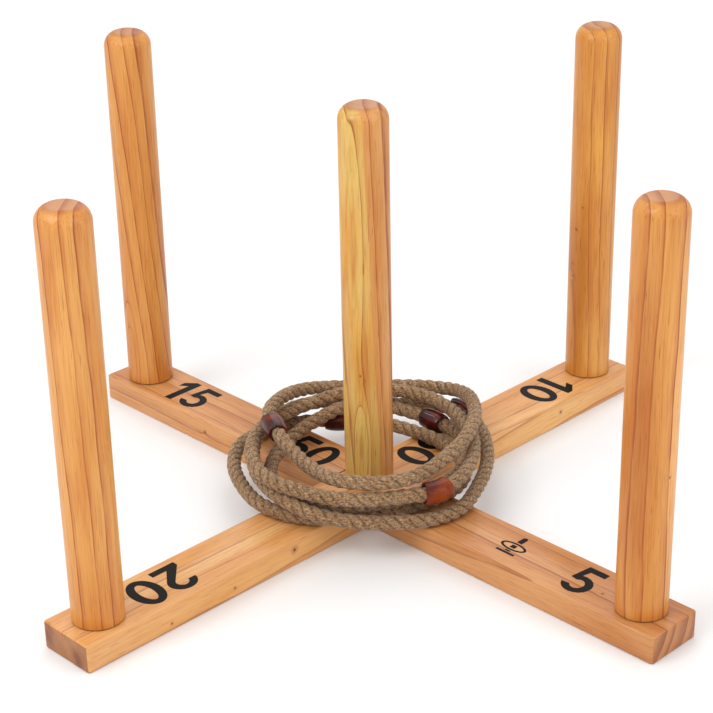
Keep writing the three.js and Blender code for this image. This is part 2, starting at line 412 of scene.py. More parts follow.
def wood(
    name, tones, turn, pith, spacing, axis, drift=0.0, lines=1.0, sap=None, foot=None,
    knots=(), arches=(), patches=(),
):
    """Lacquered softwood. turn lays the log's axis along the piece, pith puts the piece beside the
    log's heart, spacing is the growth rings' width and axis the piece's long direction. drift
    slants the rings, lines is how dark they are, sap is how far from the heart the pale sapwood
    starts and foot is the height of a peg's foot, just above which a thin band is darkened as
    painted shade where the peg meets its bar. knots are (place, radius), arches, where rings
    close to long loops, (place, size, lift) and patches (place, size, colour, strength)."""
    n = Nodes(name)
    place = n.coords()
    log = n.place(place, shift=pith, turn=turn)

    def grain(stretch, *noise):
        return n.stretched(log, (1, 1, stretch), *noise)

    # the distance from the heart, bent a little, says which growth ring a place is in
    across, thick, along = n.split(log)
    reach = n.math("SQRT", n.math("ADD", n.math("POWER", across, 2), n.math("POWER", thick, 2)))
    reach = n.weigh(along, drift, reach)
    reach = n.weigh(grain(0.3, 9, 1, 0.4), 0.016, reach)
    reach = n.weigh(grain(0.25, 45, 2, 0.5), 0.0036, reach)
    for spot, size, lift in arches:
        reach = n.weigh(n.near(place, spot, size), lift * spacing, reach)
    for spot, radius in knots:
        swirl = n.span(n.distance(place, spot), radius * 6, 0.0)
        reach = n.weigh(swirl, radius * 0.9, reach)
    even = n.math("DIVIDE", reach, spacing)
    count = n.weigh(n.noise_1d(even, 0.8), 0.8, even)
    part = n.math("FRACT", count)
    strength = n.span(n.random(n.math("FLOOR", count)), 0.1, 0.9, 0.3, lines)
    late = n.times(n.span(part, 0.5, 0.97), n.span(part, 1.0, 0.98))
    core = n.times(n.span(part, 0.87, 0.95), n.span(part, 1.0, 0.98))
    broken = n.span(grain(0.12, 160, 2, 0.6), 0.3, 0.6, 0.45, 1.0)
    strength = n.times(strength, broken)

    colour = n.mix(n.span(grain(0.22, 30, 2, 0.5), 0.3, 0.7), tones["pale"], tones["body"])
    warm = grain(0.12, 75, 2, 0.5)
    colour = n.over(colour, tones["tint"], warm, 0.5, 0.75, 0.55)
    if sap:
        cream = n.mix(n.span(warm, 0.42, 0.72), tones["sap"], SAP_STREAK)
        colour = n.mix(n.span(reach, sap - 1 * MM, sap + 2.5 * MM), colour, cream)
    for spot, size, tint, amount in patches:
        colour = n.mix(n.times(n.near(place, spot, size), amount), colour, srgb(*tint))
    colour = n.mix(n.times(late, n.times(strength, 0.84)), colour, tones["late"])
    fine = n.math("FRACT", n.times(count, 5.0))
    colour = n.over(colour, tones["late"], fine, 0.55, 0.95, 0.13)
    colour = n.mix(n.times(core, strength), colour, tones["line"])

    # streaks, pores and flecks along the grain, from coarse to fine
    streak = grain(0.09, 290, 3, 0.6)
    colour = n.over(colour, tones["late"], streak, 0.5, 0.78, 0.3)
    colour = n.over(colour, tones["pale"], streak, 0.45, 0.25, 0.35)
    fibre = grain(0.03, 1100, 3, 0.65)
    colour = n.over(colour, n.mix(1.0, colour, PORE, "MULTIPLY"), fibre, 0.48, 0.72, 0.42)
    colour = n.over(colour, tones["line"], grain(0.07, 700, 1, 0.5), 0.68, 0.78, 0.5)
    for spot, radius in knots:
        ragged = n.noise(place, 0.5 / radius, 2)
        away = n.weigh(ragged, radius * 0.9, n.distance(place, spot))
        colour = n.over(colour, KNOT_HALO, away, radius * 3.4, radius * 0.8, 0.6)
        colour = n.over(colour, KNOT_AND_SHADE_DARK, away, radius * 1.35, radius * 0.9, 0.9)
    cut_end = n.span(n.facing(axis), 0.75, 0.95)
    soaked = n.mix(0.72, colour, n.over(tones["end"], tones["line"], part, 0.2, 0.95, 1.0))
    colour = n.mix(n.times(cut_end, 0.88), colour, soaked)
    # painted shade: a thin dark band round the peg where it meets the bar, darkest within 0.3 mm of its
    # foot and gone by 1.1 mm
    if foot:
        colour = n.over(colour, KNOT_AND_SHADE_DARK, n.split(place)[2], foot + 1.1 * MM, foot + 0.3 * MM, 0.85)

    n.set(Base_Color=colour, Roughness=n.span(fibre, 0.3, 0.7, 0.34, 0.5))
    n.set(Specular_IOR_Level=0.28, Coat_Weight=0.22, Coat_Roughness=0.12, Coat_IOR=1.5)
    relief = n.weigh(core, -0.6, n.times(fibre, 0.5))
    relief = n.weigh(streak, 0.5, relief)
    n.set(Normal=n.bump(relief, 0.00016, 0.55))
    return n.material


# ---- crossbars

def cut(body, tool):
    step = body.modifiers.new("cut", "BOOLEAN")
    step.operation = "DIFFERENCE"
    step.solver = "EXACT"
    step.object = tool


def bevel(shape, edges, width, segments):
    bmesh.ops.bevel(
        shape, geom=edges, offset=width, segments=segments, profile=0.5, affect="EDGES", clamp_overlap=True
    )


def cutter(name, geometry):
    mesh = bpy.data.meshes.new(name)
    geometry.to_mesh(mesh)
    geometry.free()
    return new_object(name, mesh)


def drill(radius, x, low, high):
    shape = bmesh.new()
    bmesh.ops.create_cone(
        shape, cap_ends=True, segments=64, radius1=radius, radius2=radius, depth=high - low,
        matrix=Matrix.Translation((x, 0, (low + high) / 2)),
    )
    return cutter("drill", shape)


def box_shape(low, high):
    shape = bmesh.new()
    bmesh.ops.create_cube(shape, size=1)
    bmesh.ops.scale(shape, vec=Vector(high) - Vector(low), verts=shape.verts)
    bmesh.ops.translate(shape, vec=(Vector(high) + Vector(low)) / 2, verts=shape.verts)
    return shape


def block(low, high):
    return cutter("block", box_shape(low, high))


def crossbar(node, centre_tools, along_y, material):
    """A board with rounded edges and corners, modelled along X, cut and then laid on its axis."""
    shape = box_shape((-BAR_HALF_LENGTH, -BAR_HALF_WIDTH, 0), (BAR_HALF_LENGTH, BAR_HALF_WIDTH, BAR_TOP))

    def rise(edge):
        return abs(edge.verts[0].co.z - edge.verts[1].co.z)

    bevel(shape, [e for e in shape.edges if rise(e) > BAR_TOP / 2], BAR_CORNER, CORNER_STEPS)
    rims = [e for e in shape.edges if rise(e) < MM and abs(e.calc_face_angle(0)) > SHARP]
    bevel(shape, rims, BAR_EDGE, EDGE_STEPS)
    body = cutter("board", shape)
    peg_x = BAR_HALF_LENGTH - PEG_FROM_END
    tools = list(centre_tools)
    for x in (-peg_x, peg_x):
        tools.append(drill(INSERT_POCKET, x, BAR_TOP - INSERT_LENGTH - FIT, BAR_TOP + MM))
        tools.append(drill(CLEARANCE, x, BLIND_FLOOR, BAR_TOP - INSERT_LENGTH))
    for tool in tools:
        cut(body, tool)
    graph = bpy.context.evaluated_depsgraph_get()
    mesh = bpy.data.meshes.new_from_object(body.evaluated_get(graph))
    for spare in [body, *tools]:
        bpy.data.objects.remove(spare)
    if along_y:
        mesh.transform(Matrix.Rotation(math.pi / 2, 4, "Z"))
    smooth(mesh, 30)
    mesh.materials.clear()
    place_piece(f"{node}_wood", mesh, material, node, node)


def make_crossbars():
    half = BAR_HALF_WIDTH + FIT
    wide = 2 * BAR_HALF_WIDTH
    crossbar(
        "lower_crossbar",
        [
            block((-half, -wide, LAP - FIT / 2), (half, wide, BAR_TOP + MM)),
            drill(INSERT_POCKET, 0, -MM, LAP + MM),
        ],
        True,
        wood(
            "lower_bar_wood", DEEP_ROSY, (math.pi / 2, 0, 0), (0.075, 0.045, 0), 0.0125, (0, 1, 0),
            drift=-0.012, lines=0.48,
            knots=(((-0.004, -0.2385, BAR_TOP), 1.1 * MM), ((-BAR_HALF_WIDTH, 0.17, 0.012), 1.3 * MM)),
            patches=(
                ((0.0, -0.17, BAR_TOP), (0.012, 0.2, 0.03), (214, 162, 112), 0.6),
                ((0.0, -0.27, BAR_TOP), (0.06, 0.13, 0.04), (170, 102, 48), 0.45),
            ),
        ),
    )
    crossbar(
        "upper_crossbar",
        [
            block((-half, -wide, -MM), (half, wide, LAP + FIT / 2)),
            drill(CLEARANCE, 0, LAP - MM, BAR_TOP + MM),
        ],
        False,
        wood(
            "upper_bar_wood", ROSY, (0, math.pi / 2, 0), (0.05, -0.075, 0), 0.0135, (1, 0, 0),
            drift=0.014, lines=0.48,
            knots=(
                ((-0.105, -BAR_HALF_WIDTH, 0.014), 1.9 * MM), ((-0.165, -BAR_HALF_WIDTH, 0.008), 1.0 * MM),
                ((0.205, -BAR_HALF_WIDTH, 0.013), 1.2 * MM), ((-0.225, -BAR_HALF_WIDTH, 0.006), 0.9 * MM),
            ),
            patches=(
                ((-0.15, 0.0, BAR_TOP), (0.17, 0.014, 0.03), (226, 182, 122), 0.6),
                ((-0.3, 0.019, 0.013), (0.004, 0.009, 0.016), (122, 64, 30), 0.9),
                ((-0.3, -0.014, 0.007), (0.004, 0.012, 0.014), (122, 64, 30), 0.9),
                ((0.18, -BAR_HALF_WIDTH, 0.01), (0.13, 0.02, 0.03), (238, 190, 122), 0.7),
                ((-0.1, -BAR_HALF_WIDTH, 0.01), (0.2, 0.012, 0.012), (232, 176, 98), 0.5),
            ),
        ),
    )


# ---- pegs and their hardware

def lathe(name, profile, sides, centre):
    """A profile of (radius, height) turned about an upright axis through centre."""
    vertices = []
    rows = []
    for radius, height in profile:
        count = sides if radius > 0 else 1
        rows.append(range(len(vertices), len(vertices) + count))
        vertices += [on_circle(radius, side, sides, centre, centre[2] + height) for side in range(count)]
    faces = []
    for low, high in zip(rows, rows[1:]):
        for side in range(sides):
            after = (side + 1) % sides
            corners = (low[side % len(low)], low[after % len(low)])
            corners += (high[after % len(high)], high[side % len(high)])
            unique = list(dict.fromkeys(corners))
            if len(unique) > 2:
                faces.append(unique)
    return mesh_from(name, vertices, faces)


def arc(centre, reach, start, end, steps):
    """Points on an arc of a circle or an ellipse, angles in degrees. reach is its two radii."""
    points = []
    for step in range(steps + 1):
        angle = math.radians(start + (end - start) * step / steps)
        points.append((centre[0] + reach[0] * math.cos(angle), centre[1] + reach[1] * math.sin(angle)))
    return points


def node_axis(node):
    low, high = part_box(node)
    return (low[0] + high[0]) / 2, (low[1] + high[1]) / 2, low[2], high[2]


# Each peg's wood: how far off the log's heart lies and in which compass direction, the rings'
# width, and what else marks the peg. Heights of knots and patches are above the ground.
PEG_WOODS = {
    "20": dict(heart=0.10, bearing=-48, spacing=0.0115, drift=0.004, lines=0.84),
    "15": dict(
        heart=0.085, bearing=-40, spacing=0.0105, drift=-0.05, lines=0.8, sap=0.1285,
        arches=((-178, 0.05, 0.011, 0.07, 1.6),),
    ),
    "10": dict(
        heart=0.09, bearing=-30, spacing=0.0095, drift=0.006, lines=0.8,
        knots=((-167, 0.18, 0.8), (-185, 0.159, 1.1), (165, 0.127, 0.8), (168, 0.116, 1.2)),
        patches=((-130, 0.225, 0.045, (226, 166, 70), 0.5), (-165, 0.12, 0.09, (176, 104, 40), 0.5)),
    ),
    "5": dict(
        heart=0.11, bearing=140, spacing=0.0125, drift=-0.006, lines=0.86,
        knots=((-95, 0.135, 0.8),),
        patches=((-165, 0.17, 0.2, (172, 94, 30), 0.75), (-85, 0.18, 0.2, (236, 172, 100), 0.8)),
    ),
    "50": dict(
        heart=0.10, bearing=-38, spacing=0.0135, drift=-0.012, lines=0.76, sap=0.1065,
        knots=((-152, 0.122, 0.8), (-141, 0.118, 0.5)),
        arches=((-150, 0.062, 0.008, 0.055, 1.5), (-156, 0.24, 0.010, 0.12, 0.7)),
        patches=((-141, 0.125, 0.04, (190, 128, 40), 0.6),),
    ),
}
# How much of each peg's red, green and blue is left of the common tones.
PEG_TINT = {
    "20": (0.99, 0.99, 0.86), "15": (0.93, 0.88, 0.68), "10": (0.94, 0.93, 0.66),
    "5": (0.96, 0.94, 0.74), "50": (0.93, 0.97, 1.0),
}
PATCH_SPREAD = 0.8  # how far a patch reaches across a peg, in its radii


def peg_wood(points, x, y, foot, radius):
    """One peg's wood, with its marks put on its surface by compass direction and height."""
    marks = dict(PEG_WOODS[points])
    bearing = math.radians(marks.pop("bearing"))
    heart = marks.pop("heart")

    def on_surface(degrees, height):
        turn = math.radians(degrees)
        return x + radius * math.cos(turn), y + radius * math.sin(turn), height

    knots = [(on_surface(where, height), size * MM) for where, height, size in marks.pop("knots", ())]
    arches = [
        (on_surface(where, height), (wide, wide, tall), lift)
        for where, height, wide, tall, lift in marks.pop("arches", ())
    ]
    patches = [
        (on_surface(where, height), (PATCH_SPREAD * radius, PATCH_SPREAD * radius, tall), tint, amount)
        for where, height, tall, tint, amount in marks.pop("patches", ())
    ]
    tones = {
        key: tuple(part * gain for part, gain in zip(colour, (*PEG_TINT[points], 1.0)))
        for key, colour in HONEY.items()
    }
    pith = (-x - heart * math.cos(bearing), -y - heart * math.sin(bearing), 0)
    return wood(
        f"peg_{points}_wood", tones, (0, 0, 0), pith, axis=(0, 0, 1),
        foot=foot, knots=knots, arches=arches, patches=patches, **marks,
    )


def make_peg(points):
    node = f"peg_{points}"
    x, y, foot, top = node_axis(node)
    low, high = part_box(node)
    radius = (high[0] - low[0]) / 2
    height = top - foot
    rounding_centre = radius - PEG_ROUNDING
    flat_angle = math.degrees(math.acos((PEG_FLAT_TOP - rounding_centre) / PEG_ROUNDING))
    shoulder = height - PEG_ROUNDING * math.sin(math.radians(flat_angle))
    profile = [(0, PEG_BORE_DEPTH), (PEG_BORE, PEG_BORE_DEPTH)]
    profile += [(PEG_BORE, PEG_BORE_EDGE), (PEG_BORE + PEG_BORE_EDGE, 0)]
    profile += arc((radius - PEG_FOOT_EDGE, PEG_FOOT_EDGE), 2 * (PEG_FOOT_EDGE,), 270, 360, PEG_FOOT_STEPS)
    straight = shoulder - PEG_FOOT_EDGE
    profile += [(radius, PEG_FOOT_EDGE + straight * row / PEG_ROWS) for row in range(1, PEG_ROWS)]
    profile += arc((rounding_centre, shoulder), 2 * (PEG_ROUNDING,), 0, flat_angle, PEG_ROUNDING_STEPS)
    profile += [(PEG_FLAT_TOP / 2, height), (0, height)]
    mesh = lathe(f"{node}_wood", profile, PEG_SIDES, (x, y, foot))
    smooth(mesh, 12)
    place_piece(f"{node}_wood", mesh, peg_wood(points, x, y, foot, radius), node, node)


def metal(name, colour, roughness):
    n = Nodes(name)
    place = n.coords()
    blotch = n.noise(place, 260, 3, 0.6)
    dull = n.mix(1.0, colour, srgb(150, 148, 140), "MULTIPLY")
    n.set(Base_Color=n.over(colour, dull, blotch, 0.35, 0.75, 0.45))
    n.set(Metallic=1.0, Roughness=n.span(blotch, 0.3, 0.7, roughness, roughness + 0.18))
    n.set(Normal=n.bump(n.noise(place, 1800, 2), 0.00003, 0.5))
    return n.material


def threaded(length, outer, depth, lead, centre, sides, inside=False, point=0.0):
    """A rod, or a hole's wall, with a real helical thread between z = 0 and z = length. Gives its
    points and how many rows of faces lie between them."""
    rows = round(length / lead * THREAD_STEPS)
    vertices = []
    for row in range(rows + 1):
        height = length * row / rows
        for side in range(sides):
            phase = (height / lead - side / sides) % 1
            groove = depth * abs(2 * phase - 1)
            fade = min(1, height / lead, (length - height) / lead)
            radius = outer - groove * fade
            if inside:
                radius = outer + groove * fade - depth
            if point and height > length - point:
                radius *= max(STUD_TIP, (length - height) / point)
            vertices.append(on_circle(radius, side, sides, centre, centre[2] + height))
    return vertices, rows


def make_stud(points, material):
    node = f"stud_{points}"
    x, y, low, high = node_axis(node)
    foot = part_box(f"peg_{points}")[0][2]
    vertices, lower_rows = threaded(
        foot - low, STUD_RADIUS, STUD_THREAD_DEPTH, MACHINE_LEAD, (x, y, low), STUD_SIDES
    )
    upper, upper_rows = threaded(
        high - foot, STUD_RADIUS, WOOD_THREAD_DEPTH, WOOD_LEAD, (x, y, foot), STUD_SIDES, point=STUD_POINT
    )
    # the two threads share the row of points at the peg's foot
    vertices = vertices[:-STUD_SIDES] + upper
    faces = tube_faces(lower_rows + upper_rows, STUD_SIDES)
    faces.append(tuple(range(STUD_SIDES))[::-1])
    faces.append(tuple(range(len(vertices) - STUD_SIDES, len(vertices))))
    mesh = mesh_from(f"{node}_steel", vertices, faces)
    smooth(mesh, 50)
    place_piece(f"{node}_steel", mesh, material, node, node)


def insert_outline(length):
    """The (radius, height) of an insert's outside, from its lower rim over its ribs to the upper."""
    outline = [(radius * MM, height * MM) for radius, height in INSERT_RIM]
    upper = [(radius, length - height) for radius, height in outline[::-1]]
    for rib in range(INSERT_RIBS):
        base = INSERT_PLAIN + rib * (length - 2 * INSERT_PLAIN) / INSERT_RIBS
        outline += [(radius * MM, base + height * MM) for radius, height in INSERT_RIB]
    return outline + upper


def make_insert(points, material, body):
    node = f"insert_{points}"
    x, y, low, high = node_axis(node)
    sides = INSERT_SIDES
    length = high - low
    vertices, rows = threaded(
        length, INSERT_BORE, INSERT_THREAD_DEPTH, MACHINE_LEAD, (x, y, low), sides, inside=True
    )
    faces = [face[::-1] for face in tube_faces(rows, sides)]
    first = len(vertices)
    outline = insert_outline(length)
    for radius, height in outline:
        vertices += [on_circle(radius, side, sides, (x, y), low + height) for side in range(sides)]
    faces += tube_faces(len(outline) - 1, sides, first)
    last_inner = rows * sides
    last_outer = len(vertices) - sides
    for side in range(sides):
        after = (side + 1) % sides
        faces.append((side, after, first + after, first + side))
        faces.append((last_outer + side, last_outer + after, last_inner + after, last_inner + side))
    mesh = mesh_from(f"{node}_brass", vertices, faces)
    smooth(mesh, 50)
    place_piece(f"{node}_brass", mesh, material, body, node)


# ---- rope rings

def blend(t, start, end, a, b):
    """From a at t = start to b at t = end."""
    return (end - t) / (end - start) * a + (t - start) / (end - start) * b


def loop_points(route):
    """A closed smooth curve through the route's points (centripetal Catmull-Rom), in metres."""
    knots = np.array(route, float) * MM
    count = len(knots)
    dense = []
    for index in range(count):
        p0, p1, p2, p3 = (knots[(index + k) % count] for k in (-1, 0, 1, 2))
        t1 = np.linalg.norm(p1 - p0) ** 0.5
        t2 = t1 + np.linalg.norm(p2 - p1) ** 0.5
        t3 = t2 + np.linalg.norm(p3 - p2) ** 0.5
        t = np.linspace(t1, t2, ROUTE_STEPS, endpoint=False)[:, None]
        a1 = blend(t, 0, t1, p0, p1)
        a2 = blend(t, t1, t2, p1, p2)
        a3 = blend(t, t2, t3, p2, p3)
        b1 = blend(t, 0, t2, a1, a2)
        b2 = blend(t, t1, t3, a2, a3)
        dense.append(blend(t, t1, t2, b1, b2))
    return np.vstack(dense)


class Loop:
    """A closed centre line that can be asked for points and cross directions by distance."""

    def __init__(self, route):
        points = loop_points(route)
        closed = np.vstack([points, points[:1]])
        self.points = closed
        self.marks = np.concatenate([[0], np.cumsum(np.linalg.norm(np.diff(closed, axis=0), axis=1))])
        self.length = self.marks[-1]

    def at(self, distance):
        wrapped = np.mod(distance, self.length)
        return np.stack([np.interp(wrapped, self.marks, self.points[:, k]) for k in range(3)], axis=-1)

    def frames(self, distances):
        """Points, with the side and up directions square to the way ahead."""
        points = self.at(distances)
        ahead = self.at(distances + MM) - self.at(distances - MM)
        ahead /= np.linalg.norm(ahead, axis=1)[:, None]
        side = np.cross((0, 0, 1), ahead)
        side /= np.linalg.norm(side, axis=1)[:, None]
        up = np.cross(ahead, side)
        return points, side, up


def lobe_radius(angle):
    """The rope's outline: three strands side by side, a third of a turn apart."""
    third = FULL / 3
    local = (angle + third / 2) % third - third / 2
    return LOBE_OFFSET * np.cos(local) + np.sqrt(LOBE_RADIUS**2 - (LOBE_OFFSET * np.sin(local)) ** 2)


def around(points, side, up, radius, angle):
    """Points at a radius and an angle round a centre line, in a row for each of its places."""
    level = (radius * np.cos(angle))[:, :, None] * side[:, None, :]
    return points + level + (radius * np.sin(angle))[:, :, None] * up[:, None, :]


def rope_mesh(loop, seed):
    """Three laid strands as one skin whose outline turns as it goes along, ridged by yarns."""
    sides = ROPE_SIDES
    start = ROPE_END_GAP / 2
    end = loop.length - ROPE_END_GAP / 2
    steps = round((end - start) / ROPE_MESH_STEP)
    distances = np.linspace(start, end, steps + 1)
    points, side, up = loop.frames(distances)
    draw = np.random.default_rng(seed)
    third = FULL / 3
    own = np.arange(sides) * FULL / sides + third / 2
    groove = np.abs((own + third / 2) % third - third / 2) / (third / 2)
    turn = FULL * distances / ROPE_PITCH
    angle = own[None, :] + turn[:, None]
    # each strand swells and thins a little along its length
    swell = np.ones((len(distances), sides))
    for strand in range(3):
        near = np.exp(-(((own - strand * third + math.pi) % FULL - math.pi) / SWELL_SPREAD) ** 2)
        knots = draw.normal(0, 1, int(loop.length / SWELL_LENGTH))
        along = np.interp(distances, np.linspace(start, end, len(knots)), knots)
        swell += SWELL * along[:, None] * near[None, :]
    # yarns lie nearly along the rope and wander a little
    wander = np.cumsum(draw.normal(0, YARN_WANDER, len(distances)))[:, None]
    ridge = np.abs(np.sin(YARNS / 2 * (angle - YARN_SLIP * turn[:, None]) + wander)) ** YARN_SHARPNESS
    rough = draw.normal(0, ROPE_ROUGH, angle.shape)
    radius = lobe_radius(own)[None, :] * swell + (ridge - 1) * YARN_DEPTH + rough
    vertices = around(points[:, None, :], side, up, radius, angle).reshape(-1, 3)
    faces = tube_faces(steps, sides)
    faces.append(list(range(sides))[::-1])
    faces.append(list(range(len(vertices) - sides, len(vertices))))
    mesh = mesh_from("rope", vertices, faces)
    for polygon in mesh.polygons:
        polygon.use_smooth = True
    for name, values in (("groove", np.tile(groove, len(distances))), ("yarn", ridge.ravel())):
        mesh.attributes.new(name, "FLOAT", "POINT").data.foreach_set("value", values)
    lay_uv(mesh, sides, turn, own, distances)
    return mesh


def lay_uv(mesh, sides, turn, own, distances):
    """UV: x is the angle round the rope in turns, y the distance along it in metres."""
    layer = mesh.uv_layers.new(name="lay")
    corner = np.zeros(len(mesh.loops), dtype=np.int64)
    mesh.loops.foreach_get("vertex_index", corner)
    row = corner // sides
    column = corner % sides
    across = (own[column] + turn[row]) / FULL
    # the last column's faces close the outline, so their far corners carry on past a full turn
    quads = (len(distances) - 1) * sides
    face = np.minimum(np.arange(len(corner)) // 4, quads - 1)
    across = across + ((face % sides == sides - 1) & (column == 0))
    layer.data.foreach_set("uv", np.stack([across, distances[row]], axis=1).astype(np.float32).ravel())


def rope_material():
    n = Nodes("laid_rope")
    place = n.coords()
    lay = n.coords("UV")
    groove = n.attribute("groove")
    yarn = n.attribute("yarn")
    hair = n.stretched(lay, (60, 260, 1), 1.0, 4, 0.65)
    thread = n.stretched(lay, (26, 900, 1), 1.0, 3, 0.6)
    spread = n.noise(place, 55, 2, 0.5)
    speck = n.noise(place, 1500, 2, 0.6)
    tuft = n.stretched(lay, (21, 430, 1), 1.0, 2, 0.6)
    colour = n.ramp(hair, [
        (0.3, srgb(92, 64, 40)), (0.44, srgb(142, 106, 70)),
        (0.55, srgb(172, 136, 94)), (0.7, srgb(214, 182, 138)),
    ])
    # The first tone is painted shade in the sunken valleys between yarns; the others are dark and pale
    # specks and tufts.
    for tone, value, low, high, amount in (
        ((88, 60, 38), yarn, 0.65, 0.1, 0.5),
        ((86, 58, 36), speck, 0.54, 0.66, 0.6),
        ((214, 186, 144), speck, 0.44, 0.32, 0.6),
        ((64, 42, 26), tuft, 0.52, 0.66, 0.62),
        ((216, 188, 152), tuft, 0.46, 0.32, 0.5),
    ):
        colour = n.over(colour, srgb(*tone), value, low, high, amount)
    darker = n.mix(1.0, colour, srgb(212, 186, 156), "MULTIPLY")
    colour = n.over(colour, darker, spread, 0.35, 0.7, 0.4)
    # painted shade: the grooves between the strands darkened, broken here and there by noise
    bridged = n.span(n.noise(place, 260, 2, 0.6), 0.35, 0.65, 0.2, 1.0)
    shade = n.times(n.span(groove, 0.5, 0.98, 0.0, 0.8), bridged)
    colour = n.mix(shade, colour, srgb(62, 42, 26))
    n.set(Base_Color=colour, Roughness=0.92, Specular_IOR_Level=0.18)
    n.set(Sheen_Weight=0.2, Sheen_Roughness=0.6)
    relief = n.weigh(thread, 0.5, n.times(hair, 0.8))
    relief = n.weigh(speck, 0.35, relief)
    n.set(Normal=n.bump(relief, 0.0007, 0.9))
    return n.material


def fuzz_material():
    n = Nodes("rope_fibre")
    shade = n.noise(n.coords(), 700, 2)
    n.set(Base_Color=n.ramp(shade, [(0.3, srgb(140, 112, 82)), (0.7, srgb(212, 188, 154))]))
    n.set(Roughness=0.85, Specular_IOR_Level=0.2)
    return n.material


def fuzz_mesh(loop, seed):
    """Loose fibres that lie along the rope and lift off it at their ends."""
    draw = np.random.default_rng(seed)
    count = int(loop.length * FIBRES_PER_METRE)
    clear = SLEEVE_LENGTH / 2 + 1 * MM
    start = draw.uniform(clear, loop.length - clear, count)[:, None]
    angle = draw.uniform(0, FULL, count)[:, None]
    run = (draw.uniform(*FIBRE_RUN, count) * draw.choice((-1, 1), count) * MM)[:, None]
    lean = draw.normal(0, FIBRE_LEAN, count)[:, None]
    lift = np.minimum(np.abs(draw.normal(0, FIBRE_LIFT, count)), FIBRE_LIFT_MOST)[:, None]
    width = draw.uniform(*FIBRE_WIDTH, count) * MM
    t = np.linspace(0, 1, FIBRE_POINTS)[None, :]
    distance = np.clip(start + run * t, clear, loop.length - clear)
    bent = angle + lean * t
    turn = FULL * distance / ROPE_PITCH
    radius = lobe_radius(bent - turn) - FIBRE_SUNK + lift * t * t
    points, side, up = loop.frames(distance.ravel())
    radius = radius.ravel()[:, None]
    bent = bent.ravel()[:, None]
    line = points + radius * (np.cos(bent) * side + np.sin(bent) * up)
    line = line.reshape(count, FIBRE_POINTS, 3)
    ahead = np.gradient(line, axis=1)
    ahead /= np.linalg.norm(ahead, axis=2)[:, :, None] + 1e-12
    # any direction serves that no fibre runs along
    flat = np.cross(ahead, (0.3, 0.2, 0.93))
    flat /= np.linalg.norm(flat, axis=2)[:, :, None]
    rise = np.cross(flat, ahead)
    thin = width[:, None] * (1 - FIBRE_TAPER * t)
    corners = []
    for corner in range(3):
        turned = FULL * corner / 3
        corners.append(line + thin[:, :, None] * (math.cos(turned) * flat + math.sin(turned) * rise))
    vertices = np.stack(corners, axis=2).reshape(-1, 3)
    last = 3 * (FIBRE_POINTS - 1)
    pattern = [(a, d, c, b) for a, b, c, d in tube_faces(FIBRE_POINTS - 1, 3)]
    pattern += [(0, 1, 2), (last + 2, last + 1, last)]
    first = 3 * FIBRE_POINTS * np.arange(count)[:, None]
    faces = []
    for face in pattern:
        faces += (first + np.array([face])).tolist()
    return mesh_from("fibres", vertices, faces)


# ---- leather sleeves

SLEEVE_TURNS = (2.2, 0.6, 1.9, 2.0, 2.6)  # where each sleeve's lap lies round the rope
SLEEVE_BARREL = (0.6 * MM, 0.6 * MM, 0.6 * MM, 0.15 * MM, 0.65 * MM)  # how far its ends draw in


def sleeve_mesh(loop, lap, barrel, seed):
    """A strip of leather wrapped round the rope, its thinned edge lapped over its start."""
    sides = SLEEVE_SIDES
    steps = SLEEVE_STEPS
    draw = np.random.default_rng(seed)
    waves = draw.uniform(0, FULL, 6)
    distances = np.linspace(-SLEEVE_LENGTH / 2, SLEEVE_LENGTH / 2, steps + 1)
    points, side, up = loop.frames(distances)
    turns = np.linspace(0, FULL + SLEEVE_LAP, sides)
    over = np.clip((turns - (FULL + SLEEVE_CLIMB[0])) / SLEEVE_CLIMB[1], 0, 1)
    inner = SLEEVE_INSIDE + (3 * over**2 - 2 * over**3) * SLEEVE_STEP
    thick = np.interp(turns, *zip(*SLEEVE_THICKNESS)) * MM
    u = (distances / (SLEEVE_LENGTH / 2))[:, None]
    flare = SLEEVE_FLARE - barrel * u**2
    broad, narrow, fine = SLEEVE_DENTS
    dent = broad * np.sin(2 * turns + waves[0])[None, :] * (1 - u**2)
    dent = dent + narrow * np.sin(3 * turns + 2.4 * u + waves[1])
    dent = dent + fine * np.sin(7 * turns + 4 * u + waves[2])
    edge = SLEEVE_SKEW * np.sin(2 * turns + waves[3])
    offset = edge[None, :] * np.sign(u) * np.abs(u) ** 3
    shifted = points[:, None, :] + offset[:, :, None] * tangents(points)[:, None, :]
    low = inner[None, :] + flare + dent
    high = np.minimum(low + thick[None, :] * (1 - SLEEVE_MOUTH * u**4), SLEEVE_OUTSIDE)
    angle = turns[None, :] + lap
    vertices = np.vstack([
        around(shifted, side, up, radius, angle).reshape(-1, 3) for radius in (low, high)
    ])
    mesh = mesh_from("sleeve", vertices, strip_faces(steps, sides))
    shape = bmesh.new()
    shape.from_mesh(mesh)
    bmesh.ops.recalc_face_normals(shape, faces=shape.faces)
    rims = [e for e in shape.edges if e.calc_face_angle(0) > SHARP]
    bevel(shape, rims, SLEEVE_EDGE, SLEEVE_EDGE_STEPS)
    shape.to_mesh(mesh)
    shape.free()
    smooth(mesh, 60)
    return mesh


def strip_faces(steps, sides):
    """The faces of a bent strip with a thickness: inner and outer skin, then its four edges."""
    base = (steps + 1) * sides
    faces = []
    for row in range(steps):
        for column in range(sides - 1):
            a = row * sides + column
            faces.append((a, a + 1, a + sides + 1, a + sides))
            faces.append((base + a, base + a + sides, base + a + sides + 1, base + a + 1))
    for row in range(steps):
        for column in (0, sides - 1):
            a = row * sides + column
            quad = (a, a + sides, base + a + sides, base + a)
            faces.append(quad if column == 0 else quad[::-1])
    for column in range(sides - 1):
        for row in (0, steps):
            a = row * sides + column
            quad = (a, base + a, base + a + 1, a + 1)
            faces.append(quad if row == 0 else quad[::-1])
    return faces


def tangents(points):
    ahead = np.gradient(points, axis=0)
    return ahead / np.linalg.norm(ahead, axis=1)[:, None]
